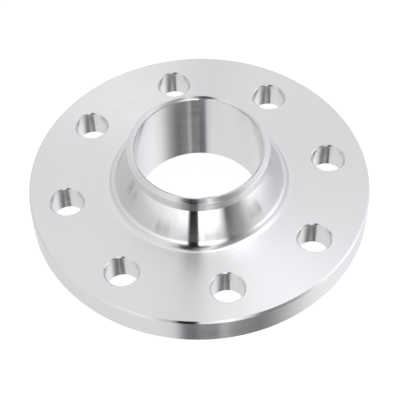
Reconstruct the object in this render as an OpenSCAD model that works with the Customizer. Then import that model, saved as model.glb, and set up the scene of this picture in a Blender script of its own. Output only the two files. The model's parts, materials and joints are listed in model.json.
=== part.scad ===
// Weld neck flange, DN65 PN16 proportions: one turned and drilled forging.
// Z is the pipe axis. Z = 0 is the sealing face, and the weld end points up.

/* [Ring] */
// Outside diameter of the ring
ring_d = 185; // [180:1:200]
// Thickness of the ring, raised face included
ring_t = 18; // [16:1:26]
// Chamfer on the ring's upper corner
ring_chamfer = 1; // [0.5:0.1:2]
// Chamfer on the ring's lower corner
ring_break = 0.5; // [0.2:0.1:1]

/* [Raised face] */
// Outside diameter of the raised sealing face
face_d = 122; // [110:1:122]
// Height of the raised sealing face above the ring
face_h = 2; // [1:0.5:3]
// Chamfer on the edge of the raised face
face_break = 0.4; // [0.2:0.1:0.8]
// Chamfer on the lower edge of the bore
bore_break = 0.4; // [0.2:0.1:0.6]

/* [Bolt holes] */
// Number of bolt holes
bolt_count = 8; // [4:4:8]
// Diameter of the bolt circle
bolt_circle_d = 145; // [144:1:150]
// Diameter of each bolt hole
bolt_hole_d = 18; // [14:1:19]
// Chamfer at both mouths of each bolt hole
hole_chamfer = 0.5; // [0.2:0.1:0.8]

/* [Hub] */
// Overall height from the sealing face to the weld end
height = 46.5; // [43.5:0.5:60]
// Diameter at which the hub's cone would meet the ring
hub_d = 92; // [86:1:96]
// Radius of the fillet between the hub and the ring
hub_fillet = 6; // [3:0.5:7]

/* [Weld end] */
// Outside diameter of the pipe and of the weld end
pipe_d = 76.1; // [73:0.1:78]
// Wall thickness of the pipe and of the weld end
pipe_wall = 4; // [3.6:0.1:7.1]
// Length of the straight part below the weld end's bevels
straight_l = 5.6; // [3:0.2:10]
// Angle of the inner and the outer weld bevel, from the plane of the weld end
bevel_angle = 37.5; // [30:0.5:40]
// Width of the outer bevel, measured across the wall
bevel_w = 1.85; // [1:0.05:2]
// Width of the flat land between the two bevels
land_w = 0.4; // [0.2:0.1:0.8]
// Chamfer on the outer edge of the outer bevel
end_break = 0.3; // [0.2:0.1:0.4]
// Width of the steep lead from the bore into the inner bevel
lead_w = 0.35; // [0.2:0.05:0.4]
// Height of the steep lead
lead_h = 0.8; // [0.5:0.1:1]

/* [Hidden] */
$fn = 180;
cut_over = 1; // how far a cutting tool runs past the face it cuts
arc_overlap = 0.0002; // makes the fillet's arc cross its two tangent lines, not only touch them
ring_r = ring_d / 2;
face_r = face_d / 2;
hub_r = hub_d / 2;
pipe_r = pipe_d / 2;
bore_r = pipe_r - pipe_wall;
bolt_hole_r = bolt_hole_d / 2;
// Weld end, from the outside of the wall to its inside
bevel_r = pipe_r - end_break;
bevel_z = height - bevel_w * tan(bevel_angle);
land_outer_r = bevel_r - bevel_w;
land_inner_r = land_outer_r - land_w;
lead_r = bore_r + lead_w;
lead_z = height - (land_inner_r - lead_r) * tan(bevel_angle);
cone_top = bevel_z - end_break - straight_l;
cone_angle = atan((hub_r - pipe_r) / (cone_top - ring_t));
// Distance from the hub's corner to where its fillet meets the cone and the ring
fillet_reach = hub_fillet / tan((90 + cone_angle) / 2);
fillet_centre = [hub_r + fillet_reach, ring_t + hub_fillet];
cone_tangent = [
    hub_r - fillet_reach * sin(cone_angle),
    ring_t + fillet_reach * cos(cone_angle),
];

// Half section of the turned body. The arc of the fillet is cut out of a corner that
// is drawn full, so it meets the cone and the ring without a step.
module turned_section() {
    difference() {
        polygon([
            [bore_r, bore_break],
            [bore_r + bore_break, 0],
            [face_r - face_break, 0],
            [face_r, face_break],
            [face_r, face_h],
            [ring_r - ring_break, face_h],
            [ring_r, face_h + ring_break],
            [ring_r, ring_t - ring_chamfer],
            [ring_r - ring_chamfer, ring_t],
            [fillet_centre[0], ring_t],
            fillet_centre,
            cone_tangent,
            [pipe_r, cone_top],
            [pipe_r, bevel_z - end_break],
            [bevel_r, bevel_z],
            [land_outer_r, height],
            [land_inner_r, height],
            [lead_r, lead_z],
            [bore_r, lead_z - lead_h],
        ]);
        translate(fillet_centre) circle(hub_fillet + arc_overlap);
    }
}

// Drill for one through hole, with a countersink at both mouths
module bolt_hole() {
    mouth_r = bolt_hole_r + hole_chamfer;
    over_r = mouth_r + cut_over;
    translate([0, 0, face_h - cut_over]) cylinder(h = ring_t - face_h + 2 * cut_over, r = bolt_hole_r);
    translate([0, 0, face_h - cut_over])
        cylinder(h = cut_over + hole_chamfer, r1 = over_r, r2 = bolt_hole_r);
    translate([0, 0, ring_t - hole_chamfer])
        cylinder(h = cut_over + hole_chamfer, r1 = bolt_hole_r, r2 = over_r);
}

// Bolt holes straddle the X and Y axes, as on any pipeline flange
module bolt_holes() {
    for (i = [0 : bolt_count - 1])
        rotate((i + 0.5) * 360 / bolt_count)
            translate([bolt_circle_d / 2, 0, 0])
                bolt_hole();
}

module flange() {
    color([0.80, 0.80, 0.81])
        difference() {
            rotate_extrude() turned_section();
            bolt_holes();
        }
}

flange();
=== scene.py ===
"""The look of a turned and drilled weld neck flange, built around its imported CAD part.

One fine mesh stands for the CAD solid: every turned surface is a run of rings around the
pipe axis, and the two drilled faces are grids of quads that wrap each bolt hole.
"""
import json
import math

import bmesh
import bpy
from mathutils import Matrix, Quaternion, Vector


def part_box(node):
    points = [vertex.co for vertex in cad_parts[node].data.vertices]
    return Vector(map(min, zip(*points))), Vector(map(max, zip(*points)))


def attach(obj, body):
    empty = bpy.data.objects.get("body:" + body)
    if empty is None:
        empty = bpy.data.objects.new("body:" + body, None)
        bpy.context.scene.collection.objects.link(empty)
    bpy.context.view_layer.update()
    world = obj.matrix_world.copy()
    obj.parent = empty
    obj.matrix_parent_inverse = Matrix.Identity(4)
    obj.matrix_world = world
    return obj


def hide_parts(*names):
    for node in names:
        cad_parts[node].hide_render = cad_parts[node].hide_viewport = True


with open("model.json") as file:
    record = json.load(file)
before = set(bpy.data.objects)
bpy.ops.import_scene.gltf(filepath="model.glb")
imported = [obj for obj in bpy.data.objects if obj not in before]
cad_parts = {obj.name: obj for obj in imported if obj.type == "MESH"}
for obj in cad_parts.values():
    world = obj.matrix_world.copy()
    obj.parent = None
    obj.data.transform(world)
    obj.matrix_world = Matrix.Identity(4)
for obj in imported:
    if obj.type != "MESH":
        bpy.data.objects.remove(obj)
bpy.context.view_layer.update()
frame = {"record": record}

MM = 0.001

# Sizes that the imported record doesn't give, as in the CAD source
RING_T = 18 * MM         # ring thickness, raised face included
RING_CHAMFER = 1 * MM    # upper corner of the ring
RING_BREAK = 0.5 * MM    # lower corner of the ring
FACE_R = 61 * MM         # raised sealing face
FACE_H = 2 * MM
FACE_BREAK = 0.4 * MM
HOLE_CHAMFER = 0.5 * MM
HUB_R = 46 * MM          # where the hub's cone would meet the ring
HUB_FILLET = 6 * MM
PIPE_R = 38.05 * MM
BORE_BREAK = 0.4 * MM    # lower edge of the bore
STRAIGHT_L = 5.6 * MM    # straight part below the weld end
BEVEL_ANGLE = math.radians(37.5)
BEVEL_W = 1.85 * MM      # outer bevel, across the wall
LAND_W = 0.4 * MM        # flat land between the two bevels
END_BREAK = 0.3 * MM     # outer edge of the outer bevel
LEAD_W = 0.35 * MM       # steep lead from the bore into the inner bevel
LEAD_H = 0.8 * MM

# Mesh density
ARC_STEPS = 36           # quads along each arc of a one-hole sector
SIDE_STEPS = 24          # quads along each straight side of a sector
HOLE_LOOPS = 9           # loops of quads between a bolt hole and its sector's outline
HOLE_CROWDING = 1.4      # above 1, the loops lie closer together near the hole
SHARP_ANGLE = math.radians(20)
MERGE_DISTANCE = 0.002 * MM

# Camera, at the photograph's viewing angle
CAMERA_AZIMUTH = math.radians(11.9)
CAMERA_ELEVATION = math.radians(51.88)
CAMERA_ROLL = math.radians(-1.27)
CAMERA_DISTANCE = 724.5 * MM
CAMERA_TARGET = Vector((0.2, 0.1, 0)) * MM
CAMERA_LENS = 117.4


def record_mount(name):
    """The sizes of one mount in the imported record."""
    return next(m for m in frame["record"]["mounts"] if m["name"] == name)["dims"]


lowest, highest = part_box("flange")
ring_r = highest.x
height = highest.z
bore_r = record_mount("bore")["r_mm"] * MM
bolts = record_mount("bolt_holes")
bolt_count = bolts["count"]
bolt_circle_r = bolts["pcd_mm"] * MM / 2
bolt_hole_r = bolts["hole_r_mm"] * MM

# Weld end, as (radius, height) from the outside of the wall to its inside
bevel_out = (PIPE_R - END_BREAK, height - BEVEL_W * math.tan(BEVEL_ANGLE))
shoulder_z = bevel_out[1] - END_BREAK
land_out = (bevel_out[0] - BEVEL_W, height)
land_in = (land_out[0] - LAND_W, height)
lead_r = bore_r + LEAD_W
lead_top = (lead_r, height - (land_in[0] - lead_r) * math.tan(BEVEL_ANGLE))
bore_top = lead_top[1] - LEAD_H

cone_top = shoulder_z - STRAIGHT_L
cone_angle = math.atan((HUB_R - PIPE_R) / (cone_top - RING_T))
fillet_reach = HUB_FILLET / math.tan((math.pi / 2 + cone_angle) / 2)
fillet_centre = (HUB_R + fillet_reach, RING_T + HUB_FILLET)


# ---------------------------------------------------------------- the flange's mesh
def line(start, end, steps):
    """Points from start to end in a straight run."""
    return [
        tuple(a + (b - a) * i / steps for a, b in zip(start, end)) for i in range(steps + 1)
    ]


def arc(centre, radius, start, end, steps):
    """Points along an arc, with its angles in radians."""
    angles = [start + (end - start) * i / steps for i in range(steps + 1)]
    return [
        (centre[0] + radius * math.cos(a), centre[1] + radius * math.sin(a)) for a in angles
    ]


def ring(radius, z):
    """One closed ring of points around the pipe axis."""
    steps = ARC_STEPS * bolt_count
    turn = 2 * math.pi / steps
    return [
        Vector((radius * math.cos(i * turn), radius * math.sin(i * turn), z))
        for i in range(steps)
    ]


class Skin:
    """The flange's mesh as it grows. Each corner of a face keeps the direction of the tool
    marks that cross it ("lay") and how far the tool had travelled there ("feed")."""

    def __init__(self):
        self.bm = bmesh.new()
        self.lay = self.bm.loops.layers.float_vector.new("lay")
        self.feed = self.bm.loops.layers.float.new("feed")
        self.zones = []

    def loft(self, rings, zone, centre, feeds):
        """Quads between rings. centre is the axis that the tool marks go round, and
        feeds(ring index, point) is the tool's travel in metres."""
        if zone not in self.zones:
            self.zones.append(zone)
        index = self.zones.index(zone)
        rows = [[self.bm.verts.new(p) for p in r] for r in rings]
        for j in range(len(rows) - 1):
            count = len(rows[j])
            for i in range(count):
                k = (i + 1) % count
                face = self.bm.faces.new((rows[j][i], rows[j][k], rows[j + 1][k], rows[j + 1][i]))
                face.material_index = index
                face.smooth = True
                for loop, level in zip(face.loops, (j, j, j + 1, j + 1)):
                    point = loop.vert.co
                    out = (point - centre).to_2d().normalized()
                    loop[self.lay] = Vector((-out.y, out.x, 0))
                    loop[self.feed] = feeds(level, point)

    def turn(self, points, zone, start):
        """A turned surface from its half section. Returns the tool's travel at its end."""
        travel = [start]
        for a, b in zip(points, points[1:]):
            travel.append(travel[-1] + math.dist(a, b))
        rings = [ring(r, z) for r, z in points]
        self.loft(rings, zone, Vector(), lambda level, point: travel[level])
        return travel[-1]

    def finish(self, name):
        """The closed mesh as an object, with its corners sharp and its curves smooth."""
        bmesh.ops.remove_doubles(self.bm, verts=self.bm.verts, dist=MERGE_DISTANCE)
        bmesh.ops.recalc_face_normals(self.bm, faces=self.bm.faces)
        for edge in self.bm.edges:
            edge.smooth = edge.calc_face_angle() < SHARP_ANGLE
        mesh = bpy.data.meshes.new(name)
        self.bm.to_mesh(mesh)
        self.bm.free()
        made = bpy.data.objects.new(name, mesh)
        bpy.context.scene.collection.objects.link(made)
        return made


def sector_outline(index, inner_r, outer_r, z):
    """Outline of the part of a flat face that belongs to one bolt hole."""
    start = 2 * math.pi * index / bolt_count
    end = 2 * math.pi * (index + 1) / bolt_count
    outline = arc((0, 0), inner_r, start, end, ARC_STEPS)[:-1]
    outline += line(
        (inner_r * math.cos(end), inner_r * math.sin(end)),
        (outer_r * math.cos(end), outer_r * math.sin(end)),
        SIDE_STEPS,
    )[:-1]
    outline += arc((0, 0), outer_r, end, start, ARC_STEPS)[:-1]
    outline += line(
        (outer_r * math.cos(start), outer_r * math.sin(start)),
        (inner_r * math.cos(start), inner_r * math.sin(start)),
        SIDE_STEPS,
    )[:-1]
    return [Vector((x, y, z)) for x, y in outline]


def drilled_face(skin, index, inner_r, outer_r, z, mouth, zone):
    """One sector of a flat face, between its outline and the mouth of its bolt hole."""
    outline = sector_outline(index, inner_r, outer_r, z)
    shares = [(i / HOLE_LOOPS) ** HOLE_CROWDING for i in range(HOLE_LOOPS + 1)]
    rings = [[a.lerp(b, share) for a, b in zip(mouth, outline)] for share in shares]
    skin.loft(rings, zone, Vector(), lambda level, point: point.to_2d().length)


def build_flange():
    """The whole skin of the flange, zone by zone."""
    skin = Skin()
    rim_top = (ring_r - RING_CHAMFER, RING_T)
    rim_bottom = (ring_r - RING_BREAK, FACE_H)
    cone_foot = (
        HUB_R - fillet_reach * math.sin(cone_angle),
        RING_T + fillet_reach * math.cos(cone_angle),
    )
    fillet = arc(fillet_centre, HUB_FILLET, math.pi + cone_angle, 1.5 * math.pi, 20)
    # From the bore over the weld end and down the outside. Each run ends with its quads.
    runs = [
        ("bore", line((bore_r, BORE_BREAK), (bore_r, bore_top), 24)),
        ("weld_end", line((bore_r, bore_top), lead_top, 3)),
        ("weld_end", line(lead_top, land_in, 4)),
        ("weld_end", line(land_in, land_out, 2)),
        ("weld_end", line(land_out, bevel_out, 6)),
        ("weld_end", line(bevel_out, (PIPE_R, shoulder_z), 2)),
        ("hub", line((PIPE_R, shoulder_z), (PIPE_R, cone_top), 4)),
        ("hub", line((PIPE_R, cone_top), cone_foot, 14)),
        ("hub", fillet),
        ("edges", line(rim_top, (ring_r, RING_T - RING_CHAMFER), 2)),
        ("rim", line((ring_r, RING_T - RING_CHAMFER), (ring_r, FACE_H + RING_BREAK), 12)),
        ("edges", line((ring_r, FACE_H + RING_BREAK), rim_bottom, 2)),
        ("edges", line((FACE_R, FACE_H), (FACE_R, FACE_BREAK), 2)),
        ("edges", line((FACE_R, FACE_BREAK), (FACE_R - FACE_BREAK, 0), 2)),
        ("sealing_face", line((FACE_R - FACE_BREAK, 0), (bore_r + BORE_BREAK, 0), 16)),
        ("edges", line((bore_r + BORE_BREAK, 0), (bore_r, BORE_BREAK), 2)),
    ]
    travel = 0
    for zone, points in runs:
        travel = skin.turn(points, zone, travel)

    for index in range(bolt_count):
        # The holes straddle the X and Y axes.
        angle = 2 * math.pi * (index + 0.5) / bolt_count
        centre = bolt_circle_r * Vector((math.cos(angle), math.sin(angle), 0))
        # The hole's points lie on the spokes from its centre to the upper outline.
        outline = sector_outline(index, fillet_centre[0], rim_top[0], 0)
        spokes = [(point - centre).normalized() for point in outline]
        wall_top = (bolt_hole_r, RING_T - HOLE_CHAMFER)
        wall = line(wall_top, (bolt_hole_r, FACE_H + HOLE_CHAMFER), 8)
        section = [
            (bolt_hole_r + HOLE_CHAMFER, RING_T),
            *wall,
            (bolt_hole_r + HOLE_CHAMFER, FACE_H),
        ]
        rings = [
            [centre + radius * spoke + Vector((0, 0, z)) for spoke in spokes]
            for radius, z in section
        ]
        skin.loft(rings[:2], "edges", centre, lambda level, point: point.z)
        skin.loft(rings[1:-1], "drilled", centre, lambda level, point: point.z)
        skin.loft(rings[-2:], "edges", centre, lambda level, point: point.z)
        drilled_face(skin, index, fillet_centre[0], rim_top[0], RING_T, rings[0], "ring_face")
        drilled_face(skin, index, FACE_R, rim_bottom[0], FACE_H, rings[-1], "back_face")
    return skin.finish("turned_flange"), skin.zones


# ---------------------------------------------------------------- materials
def node(tree, kind, sockets=None, **settings):
    """Adds a node. A socket takes a plain value or another node's output."""
    made = tree.nodes.new(kind)
    for key, value in settings.items():
        setattr(made, key, value)
    for key, value in (sockets or {}).items():
        if isinstance(value, bpy.types.NodeSocket):
            tree.links.new(value, made.inputs[key])
        else:
            made.inputs[key].default_value = value
    return made


def calc(tree, operation, *values):
    """The output of a Math node."""
    return node(tree, "ShaderNodeMath", dict(enumerate(values)), operation=operation).outputs[0]


def remap(tree, value, low, high):
    """value, which goes from 0 to 1, as a number from low to high."""
    sockets = {"Value": value, "To Min": low, "To Max": high}
    return node(tree, "ShaderNodeMapRange", sockets).outputs["Result"]


def noise(tree, vector, detail, scale=1.0):
    """The output of a Noise Texture node, from 0 to 1."""
    sockets = {"Vector": vector, "Scale": scale, "Detail": detail, "Roughness": 0.6}
    return node(tree, "ShaderNodeTexNoise", sockets).outputs[0]


STEEL = (0.83, 0.83, 0.835)
BAND_MARKS = 16          # tool marks in one of the broader bands
FINE_WANDER = 8          # how fast the marks change on their way round, per metre
BAND_WANDER = 5
BLOTCH_SCALE = 45        # blotches per metre
TONE_SPREAD = 0.02       # of the bands and of the blotches, either way
BAND_ROUGHNESS = 0.03    # change of roughness, either way
FINE_ROUGHNESS = 0.02
BLOTCH_ROUGHNESS = 0.02
# Zone: roughness, spacing of the tool marks, depth of the marks
FINISHES = {
    "ring_face": (0.24, 0.25 * MM, 0.002 * MM),
    "back_face": (0.34, 0.25 * MM, 0.002 * MM),
    "sealing_face": (0.36, 0.8 * MM, 0.01 * MM),
    "weld_end": (0.17, 0.25 * MM, 0.001 * MM),
    "hub": (0.14, 0.20 * MM, 0.001 * MM),
    "bore": (0.17, 0.20 * MM, 0.001 * MM),
    "rim": (0.20, 0.22 * MM, 0.001 * MM),
    "edges": (0.17, 0.20 * MM, 0.001 * MM),
    "drilled": (0.20, 0.30 * MM, 0.001 * MM),
}


def turned_steel(zone):
    """Turned stainless steel: tool marks along the lay, with a sheen stretched across it."""
    roughness, spacing, depth = FINISHES[zone]
    material = bpy.data.materials.new("steel_" + zone)
    material.use_nodes = True
    tree = material.node_tree
    shader = tree.nodes["Principled BSDF"]
    shader.inputs["Metallic"].default_value = 1
    shader.inputs["Anisotropic"].default_value = 1
    # A quarter turn lays the sheen across the marks.
    shader.inputs["Anisotropic Rotation"].default_value = 0.25

    position = node(tree, "ShaderNodeNewGeometry").outputs["Position"]
    place = node(tree, "ShaderNodeSeparateXYZ", {0: position})
    feed = node(tree, "ShaderNodeAttribute", attribute_name="feed").outputs["Fac"]
    lay = node(tree, "ShaderNodeAttribute", attribute_name="lay").outputs["Vector"]

    def marks(pitch, wander, detail):
        """Lines one pitch apart along the lay, which drift a little on their way round."""
        sockets = {
            "X": calc(tree, "DIVIDE", feed, pitch),
            "Y": calc(tree, "MULTIPLY", place.outputs["X"], wander),
            "Z": calc(tree, "MULTIPLY", place.outputs["Y"], wander),
        }
        return noise(tree, node(tree, "ShaderNodeCombineXYZ", sockets).outputs[0], detail)

    def spread(value, most):
        """A noise as a change of up to most, either way."""
        return remap(tree, value, -most, most)

    fine = marks(spacing, FINE_WANDER, 3)
    bands = marks(BAND_MARKS * spacing, BAND_WANDER, 2)
    blotches = noise(tree, position, 3, BLOTCH_SCALE)

    tone = calc(tree, "ADD", spread(bands, TONE_SPREAD), spread(blotches, TONE_SPREAD))
    colour = node(
        tree,
        "ShaderNodeHueSaturation",
        {"Color": (*STEEL, 1), "Value": calc(tree, "ADD", tone, 1)},
    )
    rough = calc(tree, "ADD", spread(bands, BAND_ROUGHNESS), spread(fine, FINE_ROUGHNESS))
    rough = calc(tree, "ADD", rough, spread(blotches, BLOTCH_ROUGHNESS))
    bump = node(tree, "ShaderNodeBump", {"Height": fine, "Distance": depth, "Strength": 1})

    tree.links.new(colour.outputs[0], shader.inputs["Base Color"])
    tree.links.new(calc(tree, "ADD", rough, roughness), shader.inputs["Roughness"])
    tree.links.new(bump.outputs[0], shader.inputs["Normal"])
    tree.links.new(lay, shader.inputs["Tangent"])
    return material


flange, zones = build_flange()
for zone_name in zones:
    flange.data.materials.append(turned_steel(zone_name))
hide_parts("flange")
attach(flange, "root")


# ---------------------------------------------------------------- studio
FLOOR_GAP = 0.05 * MM
FLOOR_SIZE = 8.0
FLOOR_COLOUR = (0.25, 0.25, 0.25)
FLOOR_GLOW = 0.88
ROOM_COLOUR = (0.93, 0.94, 0.95)
TENT_RADIUS = 5.0

# What the steel reflects: a light tent with a black gap beside the camera. Each row is an
# azimuth from the camera in degrees, how blue the light is, and how strong it is at each
# of TENT_HEIGHTS, which are degrees above the horizon.
TENT_HEIGHTS = (-42, -24, 20, 35, 50, 72)
TENT = (
    (-179, 1.02, (0.96, 0.85, 0.85, 0.80, 0.80, 0.85)),
    (-177, 1.02, (0.96, 0.85, 0.85, 0.80, 0.95, 0.92)),
    (-150, 1.02, (0.88, 0.80, 0.78, 0.64, 0.82, 0.88)),
    (-100, 1.01, (0.82, 0.78, 0.76, 0.66, 0.80, 0.86)),
    (-60, 1.00, (0.82, 0.98, 0.92, 0.70, 0.88, 0.84)),
    (-47, 1.00, (0.80, 1.05, 1.05, 0.76, 0.90, 0.55)),
    (-38, 1.00, (0.79, 1.10, 1.15, 0.80, 0.84, 0.08)),
    (-30, 1.00, (0.78, 1.15, 1.25, 0.72, 0.50, 0.02)),
    (-26, 1.01, (0.78, 1.25, 1.38, 0.50, 0.05, 0.03)),
    (-15.5, 1.03, (0.58, 1.40, 1.50, 0.08, 0.01, 0.10)),
    (-12.8, 1.06, (0.20, 0.01, 0.01, 0.02, 0.01, 0.20)),
    (-2.8, 1.06, (0.17, 0.01, 0.01, 0.01, 0.03, 0.42)),
    (-1.4, 1.03, (0.13, 1.65, 2.20, 0.40, 0.05, 0.50)),
    (10, 1.02, (0.07, 1.65, 2.30, 0.68, 0.32, 1.00)),
    (14, 1.01, (0.34, 1.65, 2.30, 0.95, 0.80, 1.10)),
    (17, 1.01, (0.34, 1.65, 2.20, 0.85, 0.95, 1.00)),
    (20, 1.01, (0.13, 1.50, 1.75, 0.70, 0.85, 0.80)),
    (26, 1.01, (0.13, 1.10, 1.10, 0.60, 0.45, 0.55)),
    (33, 1.00, (0.13, 0.15, 0.15, 0.30, 0.24, 0.45)),
    (38, 1.00, (0.16, 0.17, 0.17, 0.28, 0.24, 0.45)),
    (52, 0.98, (0.34, 0.44, 0.44, 0.38, 0.28, 0.55)),
    (60, 0.97, (0.55, 0.85, 0.80, 0.48, 0.36, 0.75)),
    (70, 0.99, (0.82, 1.40, 1.25, 0.68, 0.60, 1.35)),
    (90, 1.03, (1.00, 1.50, 1.22, 0.74, 1.15, 2.15)),
    (120, 1.03, (0.95, 0.90, 0.88, 0.68, 0.98, 2.05)),
    (150, 1.03, (0.88, 0.85, 0.80, 0.56, 0.84, 1.50)),
    (177, 1.02, (0.96, 0.85, 0.85, 0.80, 1.00, 1.05)),
    (179, 1.02, (0.96, 0.85, 0.85, 0.80, 0.80, 0.85)),
)


def floor_material():
    """A matt surface with some light of its own."""
    material = bpy.data.materials.new("floor")
    material.use_nodes = True
    shader = material.node_tree.nodes["Principled BSDF"]
    shader.inputs["Base Color"].default_value = (*FLOOR_COLOUR, 1)
    shader.inputs["Roughness"].default_value = 0.9
    shader.inputs["Specular IOR Level"].default_value = 0
    shader.inputs["Emission Color"].default_value = (1, 1, 1, 1)
    shader.inputs["Emission Strength"].default_value = FLOOR_GLOW
    return material


def tent_material():
    """The light that the tent sends in, by direction."""
    material = bpy.data.materials.new("tent")
    material.use_nodes = True
    tree = material.node_tree
    tree.nodes.clear()
    spot = node(tree, "ShaderNodeTexCoord").outputs["Object"]
    place = node(tree, "ShaderNodeSeparateXYZ", {0: spot})
    x, y, z = place.outputs
    # 0 to 1 round the tent, from the side away from the camera; the camera is at -Y
    around = calc(tree, "ARCTAN2", x, calc(tree, "MULTIPLY", y, -1))
    turn = calc(tree, "ADD", calc(tree, "DIVIDE", around, 2 * math.pi), 0.5)
    level = calc(tree, "ARCSINE", calc(tree, "DIVIDE", z, TENT_RADIUS))
    level = calc(tree, "DEGREES", level)

    # One ramp round the tent for each height, each mixed over the ones below it
    mixed = None
    for index, above in enumerate(TENT_HEIGHTS):
        ramp = node(tree, "ShaderNodeValToRGB", {0: turn})
        stops = ramp.color_ramp.elements
        while len(stops) < len(TENT):
            stops.new(0.5)
        for stop, (azimuth, blue, levels) in zip(stops, TENT):
            stop.position = azimuth / 360 + 0.5
            stop.color = (levels[index], levels[index], levels[index] * blue, 1)
        if mixed is None:
            mixed = ramp.outputs[0]
            continue
        below = TENT_HEIGHTS[index - 1]
        sockets = {"Value": level, "From Min": below, "From Max": above}
        share = node(tree, "ShaderNodeMapRange", sockets, interpolation_type="SMOOTHSTEP")
        mix = node(tree, "ShaderNodeMix", data_type="RGBA")
        tree.links.new(share.outputs[0], mix.inputs["Factor"])
        # A Mix node's colours are its inputs 6 and 7 and its output 2.
        tree.links.new(mixed, mix.inputs[6])
        tree.links.new(ramp.outputs[0], mix.inputs[7])
        mixed = mix.outputs[2]
    light = node(tree, "ShaderNodeEmission", {"Color": mixed, "Strength": 1.0})
    output = node(tree, "ShaderNodeOutputMaterial")
    tree.links.new(light.outputs[0], output.inputs["Surface"])
    return material


def add_stage(name, bm, material):
    """A stage piece from a bmesh."""
    mesh = bpy.data.meshes.new(name)
    bm.to_mesh(mesh)
    bm.free()
    mesh.materials.append(material)
    made = bpy.data.objects.new(name, mesh)
    bpy.context.scene.collection.objects.link(made)
    return made


floor_bm = bmesh.new()
bmesh.ops.create_grid(floor_bm, x_segments=1, y_segments=1, size=FLOOR_SIZE / 2)
floor = add_stage("floor", floor_bm, floor_material())
floor.location.z = -FLOOR_GAP
floor.visible_glossy = False

tent_bm = bmesh.new()
bmesh.ops.create_uvsphere(tent_bm, u_segments=96, v_segments=48, radius=TENT_RADIUS)
tent = add_stage("light_tent", tent_bm, tent_material())
tent.rotation_euler.z = CAMERA_AZIMUTH
for ray in ("camera", "diffuse", "transmission", "volume_scatter", "shadow"):
    setattr(tent, "visible_" + ray, False)

scene = bpy.context.scene
scene.view_settings.view_transform = "Standard"
world = bpy.data.worlds.new("studio")
world.use_nodes = True
world.node_tree.nodes["Background"].inputs["Color"].default_value = (*ROOM_COLOUR, 1)
scene.world = world

# ---------------------------------------------------------------- camera
back = Vector((
    math.sin(CAMERA_AZIMUTH) * math.cos(CAMERA_ELEVATION),
    -math.cos(CAMERA_AZIMUTH) * math.cos(CAMERA_ELEVATION),
    math.sin(CAMERA_ELEVATION),
))
lens = bpy.data.cameras.new("camera")
lens.lens = CAMERA_LENS
camera = bpy.data.objects.new("camera", lens)
camera.location = CAMERA_TARGET + back * CAMERA_DISTANCE
camera.rotation_mode = "QUATERNION"
camera.rotation_quaternion = (-back).to_track_quat("-Z", "Y") @ Quaternion((0, 0, 1), CAMERA_ROLL)
scene.collection.objects.link(camera)
scene.camera = camera
